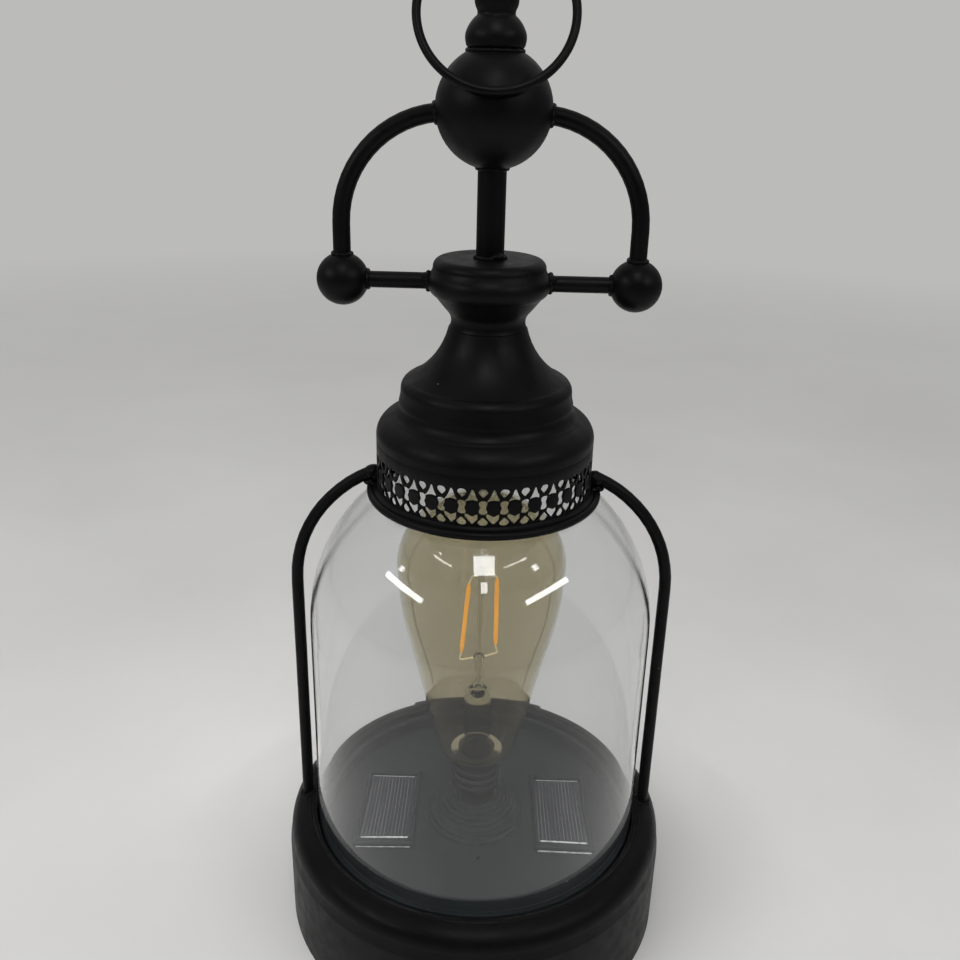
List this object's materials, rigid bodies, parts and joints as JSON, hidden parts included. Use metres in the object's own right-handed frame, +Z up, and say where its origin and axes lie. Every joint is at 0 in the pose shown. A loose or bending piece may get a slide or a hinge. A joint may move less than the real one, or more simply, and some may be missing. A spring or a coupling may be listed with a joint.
{
  "type": "solar garden light",
  "caption": "Solar garden light: a glass dome lantern with a filament style lamp, round solar base, pierced metal top, scroll arms and a hanging ring.",
  "frame": {"origin": "middle of the round rim that the lantern stands on", "axes": "+Z up along the lantern's axis, X through the two side arms, -Y towards the side that the hanging ring leans over"},
  "size_m": [0.156, 0.156, 0.3788],
  "materials": {
    "black_metal": "satin powder coat",
    "deck_plastic": "fine moulded texture",
    "solar_cell": "clear coated cell",
    "clear_glass": "clear",
    "lamp_glass": "clear",
    "amber_glass": "amber tinted",
    "filament": "phosphor coated",
    "support_wire": "drawn wire",
    "holder_plastic": "satin",
    "gasket_rubber": "matt",
    "cover_plastic": "fine moulded texture",
    "switch_steel": "plated",
    "knob_plastic": "satin",
    "screw_steel": "zinc plated",
    "battery_sleeve": "shrink sleeve",
    "contact_metal": "nickel plated",
    "board_green": "solder mask",
    "component_plastic": "moulded",
    "lead_sleeve": "soft sleeve"
  },
  "bodies": {
    "lantern": {"base_shell": "black_metal", "battery": "battery_sleeve", "big_ball": "black_metal", "board_components": "component_plastic", "board_screws": "screw_steel", "bottom_cover": "cover_plastic", "bulb_glass": "amber_glass", "cell_frame_left": "deck_plastic", "cell_frame_right": "deck_plastic", "circuit_board": "board_green", "collar": "black_metal", "contact_plate": "contact_metal", "contact_spring": "contact_metal", "cover_screws": "screw_steel", "cross_rod_left": "black_metal", "cross_rod_right": "black_metal", "deck_screws": "screw_steel", "dome_gasket": "gasket_rubber", "filament_left": "filament", "filament_right": "filament", "filament_supports": "support_wire", "finial": "black_metal", "glass_dome": "clear_glass", "glass_mount": "lamp_glass", "lamp_holder": "holder_plastic", "lamp_pedestal": "deck_plastic", "lattice_band": "black_metal", "lead_wires": "lead_sleeve", "neck_ring": "black_metal", "roof": "black_metal", "scroll_arm_left": "black_metal", "scroll_arm_right": "black_metal", "shell_lugs": "black_metal", "side_arm_left": "black_metal", "side_arm_right": "black_metal", "small_ball_left": "black_metal", "small_ball_right": "black_metal", "solar_cell_left": "solar_cell", "solar_cell_right": "solar_cell", "solar_deck": "deck_plastic", "spring_plate": "contact_metal", "stem": "black_metal", "switch_body": "switch_steel"},
    "hanging_ring": {"hanging_ring": "black_metal"},
    "switch_knob": {"switch_knob": "knob_plastic"},
    "battery_door": {"battery_door": "cover_plastic", "battery_door_screw": "screw_steel"}
  },
  "joints": [
    {"name": "ring_swing", "type": "hinge", "parent": "lantern", "child": "hanging_ring", "pos_m": [0, 0, 0.3722], "axis": [-1, 0, 0], "range_deg": [0, 311.4]},
    {"name": "switch_slide", "type": "slide", "parent": "lantern", "child": "switch_knob", "axis": [1, 0, 0], "range_m": [0, 0.0032]},
    {"name": "battery_door_lift", "type": "slide", "parent": "lantern", "child": "battery_door", "axis": [0, 0, -1], "range_m": [0, 0.03]}
  ]
}
